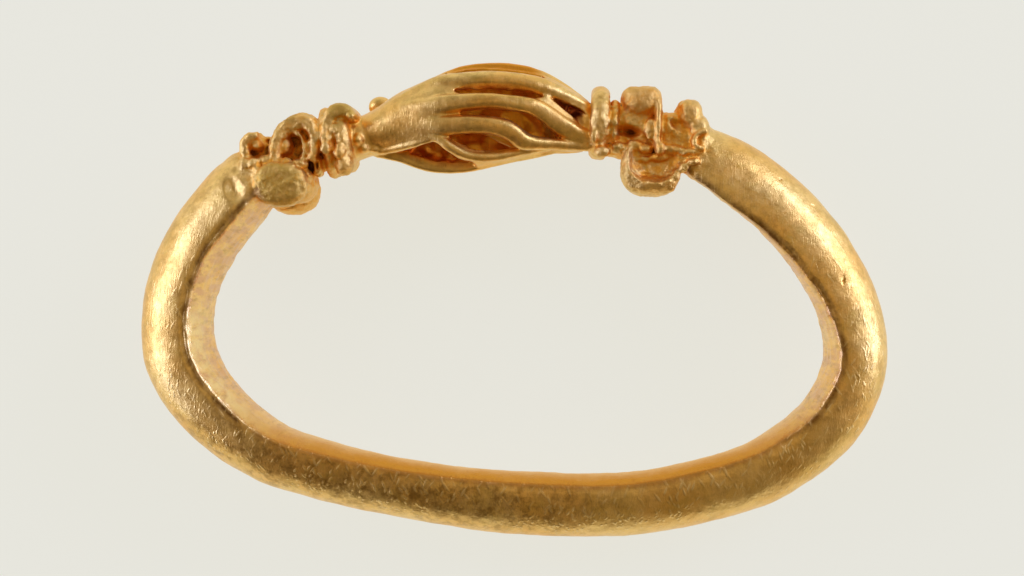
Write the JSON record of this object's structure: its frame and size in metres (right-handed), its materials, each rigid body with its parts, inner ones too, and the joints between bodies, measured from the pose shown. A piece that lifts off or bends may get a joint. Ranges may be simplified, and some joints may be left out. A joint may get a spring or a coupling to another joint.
{
  "type": "gold finger ring with clasped hands",
  "caption": "Gold finger ring lying on its side: a half-round hoop bent into a low oval, scrolled shoulders and a hollow pierced bezel of clasped hands.",
  "frame": {"origin": "middle of the ring's outline, on the surface that it lies on", "axes": "+X across the finger opening towards the shoulder with the hollow leaf, +Y from the plain side of the hoop towards the hands, +Z along the finger towards the pierced side of the hands"},
  "size_m": [0.0276, 0.0174, 0.0038],
  "materials": {
    "gold": "worn high-carat gold, softly brushed and pitted, with brown tarnish in the hollows"
  },
  "bodies": {
    "root": {"ring": "gold"}
  },
  "joints": []
}
